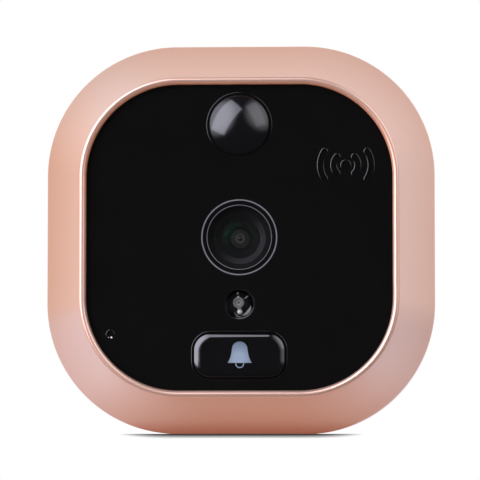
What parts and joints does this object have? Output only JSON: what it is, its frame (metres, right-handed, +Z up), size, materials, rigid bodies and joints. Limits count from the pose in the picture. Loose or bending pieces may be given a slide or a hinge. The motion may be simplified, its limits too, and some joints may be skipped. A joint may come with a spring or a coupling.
{
  "type": "peephole door camera",
  "caption": "Outdoor unit of a peephole door camera: rounded square metal bezel, gloss black panel with sensor dome, lens, light and bell button, on a hollow threaded barrel.",
  "frame": {"origin": "on the barrel's axis, at the door face", "axes": "+Y along the barrel into the door, +Z up, +X to the right seen from the front, so the front looks towards -Y"},
  "size_m": [0.068, 0.0466, 0.068],
  "materials": {
    "bezel_metal": "satin rose gold anodised, polished bead",
    "panel_gloss": "piano black acrylic",
    "dome_gloss": "black infrared-passing moulding",
    "button_gloss": "gloss black moulding",
    "legend_pale": "translucent pale blue moulding",
    "black_plastic": "fine texture moulding",
    "lens_black": "satin black lens barrel",
    "window_clear": "polished",
    "lens_glass": "coated",
    "filter_glass": "coated",
    "clear_epoxy": "clear casting",
    "steel": "plated",
    "barrel_metal": "turned and nickel plated",
    "contact_gold": "gold plated",
    "silicone": "matt translucent",
    "black_rubber": "matt",
    "foam": "closed-cell foam",
    "tape": "bonding tape",
    "circuit_board": "solder mask",
    "chip_black": "moulded package",
    "socket_plastic": "moulded",
    "chip_white": "moulded",
    "magnet": "sintered",
    "cone_film": "thin film",
    "mesh_cloth": "fine woven mesh"
  },
  "bodies": {
    "unit": {"bezel_frame": "bezel_metal", "panel_tape": "tape", "front_panel": "panel_gloss", "inner_carrier": "black_plastic", "lens_window": "window_clear", "lens_barrel": "lens_black", "front_glass": "lens_glass", "lens_baffle": "black_plastic", "rear_glass": "lens_glass", "lens_holder": "black_plastic", "holder_screws": "steel", "infrared_filter": "filter_glass", "image_sensor": "chip_black", "pir_dome": "dome_gloss", "pir_can": "steel", "pir_filter": "filter_glass", "led_body": "clear_epoxy", "led_leads": "steel", "button_boot": "silicone", "switch_body": "black_plastic", "switch_shell": "steel", "switch_dome": "steel", "switch_terminals": "steel", "backlight_chips": "chip_white", "speaker_mesh": "mesh_cloth", "speaker_gasket": "foam", "speaker_basket": "steel", "speaker_cone": "cone_film", "speaker_magnet": "magnet", "speaker_contacts": "contact_gold", "mic_boot": "black_rubber", "mic_capsule": "steel", "main_board": "circuit_board", "board_screws": "steel", "processor_chip": "chip_black", "board_parts": "chip_black", "ribbon_socket": "socket_plastic", "rear_cover": "black_plastic", "cover_seal": "black_rubber", "cover_screws": "steel", "threaded_barrel": "barrel_metal", "flange_screws": "steel", "door_gasket": "foam"},
    "button": {"button_cap": "button_gloss", "bell_legend": "legend_pale"},
    "plunger": {"switch_plunger": "black_plastic"}
  },
  "joints": [
    {"name": "button_press", "type": "slide", "parent": "unit", "child": "button", "axis": [0, 1, 0], "range_m": [0, 0.0008], "stiffness_N_per_m": 700, "springref_m": -0.002, "deforming": ["button_boot", "switch_dome"]},
    {"name": "plunger_press", "type": "slide", "parent": "unit", "child": "plunger", "axis": [0, 1, 0], "range_m": [0, 0.0008]}
  ],
  "couplings": [
    {"joint": "plunger_press", "follows": "button_press", "ratio": 1}
  ]
}
